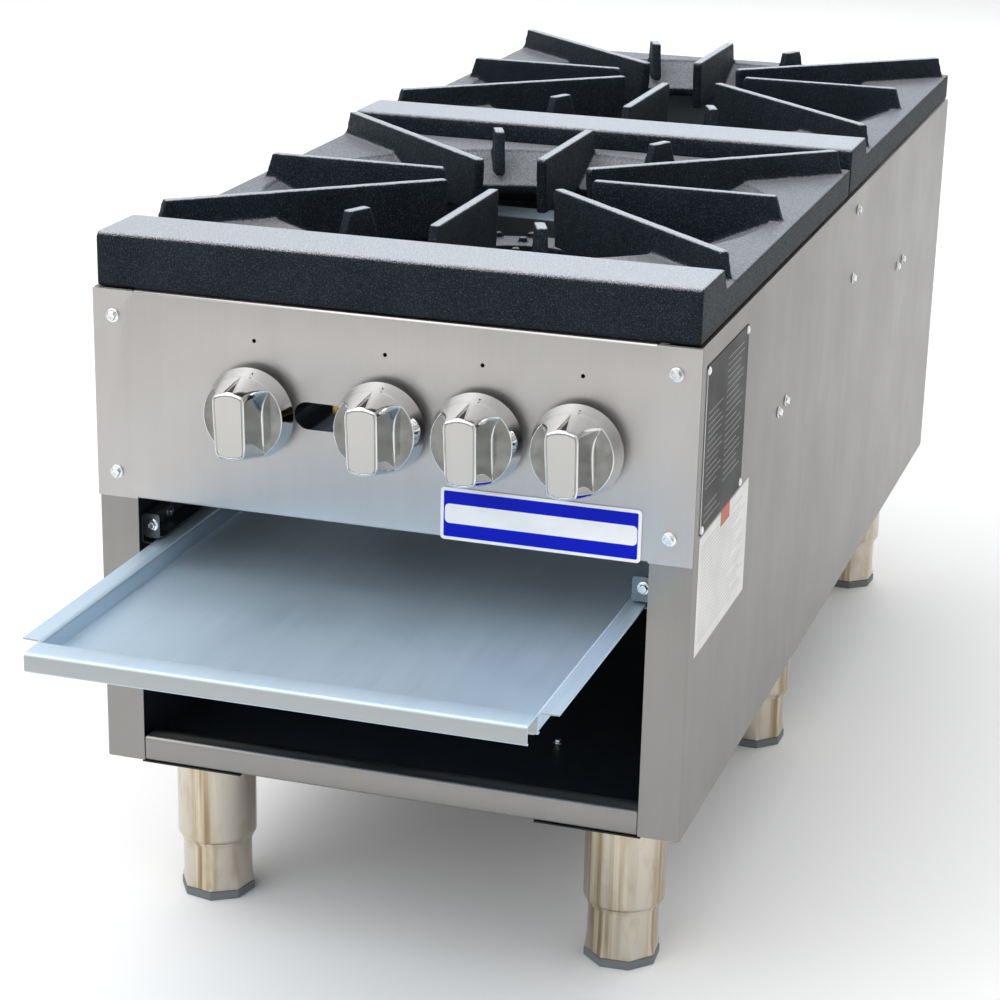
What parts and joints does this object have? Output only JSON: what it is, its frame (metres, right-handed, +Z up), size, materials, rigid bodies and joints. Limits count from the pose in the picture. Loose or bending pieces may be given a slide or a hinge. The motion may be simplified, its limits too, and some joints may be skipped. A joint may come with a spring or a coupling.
{
  "type": "stock pot range",
  "caption": "Low gas stock pot range: cast-iron grates one behind the other on a stainless cabinet with control knobs, a pull-out drip tray and adjustable legs.",
  "frame": {"origin": "bottom centre of the bounding box at rest, on the floor, midway between the drip tray's lip and the end of the gas inlet", "axes": "+X to the right when facing the controls, +Y from the controls towards the rear, +Z up"},
  "size_m": [0.458, 1.3198, 0.5555],
  "materials": {
    "stainless": "brushed stainless sheet, grain upright",
    "black_steel": "dark satin coating",
    "galvanised": "bluish galvanised sheet",
    "chrome": "polished",
    "leg_steel": "polished stainless tube",
    "cast_iron": "matte blue-black, fine sand texture",
    "brass": "machined",
    "gas_pipe": "black pipe",
    "foot_pad": "matte grey",
    "badge": "glossy blue with a white border line and a plain white band",
    "rating_plate": "charcoal"
  },
  "bodies": {
    "cabinet": {"left_side_panel": "stainless", "right_side_panel": "stainless", "rear_panel": "stainless", "control_panel": "stainless", "bottom_front_rail": "stainless", "bottom_pan": "black_steel", "left_liner": "black_steel", "right_liner": "black_steel", "center_cross_member": "black_steel", "left_tray_slide": "galvanised", "right_tray_slide": "galvanised", "panel_screw_1": "chrome", "panel_screw_2": "chrome", "panel_screw_3": "chrome", "panel_screw_4": "chrome", "badge_plate": "badge", "rating_plate": "rating_plate", "left_leg_rail": "black_steel", "right_leg_rail": "black_steel", "front_left_leg_tube": "leg_steel", "front_right_leg_tube": "leg_steel", "mid_left_leg_tube": "leg_steel", "mid_right_leg_tube": "leg_steel", "rear_left_leg_tube": "leg_steel", "rear_right_leg_tube": "leg_steel", "front_burner_support": "galvanised", "front_ring_burner": "cast_iron", "front_head_burner": "cast_iron", "rear_burner_support": "galvanised", "rear_ring_burner": "cast_iron", "rear_head_burner": "cast_iron", "gas_manifold": "gas_pipe", "pilot_assembly": "brass", "gas_valve_1": "brass", "gas_valve_2": "brass", "gas_valve_3": "brass", "gas_valve_4": "brass"},
    "front_grate_body": {"front_grate": "cast_iron"},
    "rear_grate_body": {"rear_grate": "cast_iron"},
    "tray": {"drip_tray": "galvanised"},
    "control_1": {"valve_stem_1": "brass", "knob_1": "chrome"},
    "control_2": {"valve_stem_2": "brass", "knob_2": "chrome"},
    "control_3": {"valve_stem_3": "brass", "knob_3": "chrome"},
    "control_4": {"valve_stem_4": "brass", "knob_4": "chrome"},
    "front_left_adjuster": {"front_left_foot": "leg_steel", "front_left_foot_pad": "foot_pad"},
    "front_right_adjuster": {"front_right_foot": "leg_steel", "front_right_foot_pad": "foot_pad"},
    "mid_left_adjuster": {"mid_left_foot": "leg_steel", "mid_left_foot_pad": "foot_pad"},
    "mid_right_adjuster": {"mid_right_foot": "leg_steel", "mid_right_foot_pad": "foot_pad"},
    "rear_left_adjuster": {"rear_left_foot": "leg_steel", "rear_left_foot_pad": "foot_pad"},
    "rear_right_adjuster": {"rear_right_foot": "leg_steel", "rear_right_foot_pad": "foot_pad"}
  },
  "joints": [
    {"name": "tray_slide", "type": "slide", "parent": "cabinet", "child": "tray", "axis": [0, -1, 0], "range_m": [-0.216, 0.45]},
    {"name": "front_grate_lift", "type": "slide", "parent": "cabinet", "child": "front_grate_body", "axis": [0, 0, 1], "range_m": [0, 0.1]},
    {"name": "rear_grate_lift", "type": "slide", "parent": "cabinet", "child": "rear_grate_body", "axis": [0, 0, 1], "range_m": [0, 0.1]},
    {"name": "control_1_turn", "type": "hinge", "parent": "cabinet", "child": "control_1", "pos_m": [-0.1021, -0.4359, 0.431], "axis": [0, -1, 0], "range_deg": [0, 90]},
    {"name": "control_2_turn", "type": "hinge", "parent": "cabinet", "child": "control_2", "pos_m": [-0.0019, -0.4359, 0.431], "axis": [0, -1, 0], "range_deg": [0, 90]},
    {"name": "control_3_turn", "type": "hinge", "parent": "cabinet", "child": "control_3", "pos_m": [0.0708, -0.4359, 0.431], "axis": [0, -1, 0], "range_deg": [0, 90]},
    {"name": "control_4_turn", "type": "hinge", "parent": "cabinet", "child": "control_4", "pos_m": [0.1442, -0.4359, 0.431], "axis": [0, -1, 0], "range_deg": [0, 90]},
    {"name": "front_left_foot_height", "type": "slide", "parent": "cabinet", "child": "front_left_adjuster", "axis": [0, 0, -1], "range_m": [0, 0.025]},
    {"name": "front_right_foot_height", "type": "slide", "parent": "cabinet", "child": "front_right_adjuster", "axis": [0, 0, -1], "range_m": [0, 0.025]},
    {"name": "mid_left_foot_height", "type": "slide", "parent": "cabinet", "child": "mid_left_adjuster", "axis": [0, 0, -1], "range_m": [0, 0.025]},
    {"name": "mid_right_foot_height", "type": "slide", "parent": "cabinet", "child": "mid_right_adjuster", "axis": [0, 0, -1], "range_m": [0, 0.025]},
    {"name": "rear_left_foot_height", "type": "slide", "parent": "cabinet", "child": "rear_left_adjuster", "axis": [0, 0, -1], "range_m": [0, 0.025]},
    {"name": "rear_right_foot_height", "type": "slide", "parent": "cabinet", "child": "rear_right_adjuster", "axis": [0, 0, -1], "range_m": [0, 0.025]}
  ]
}
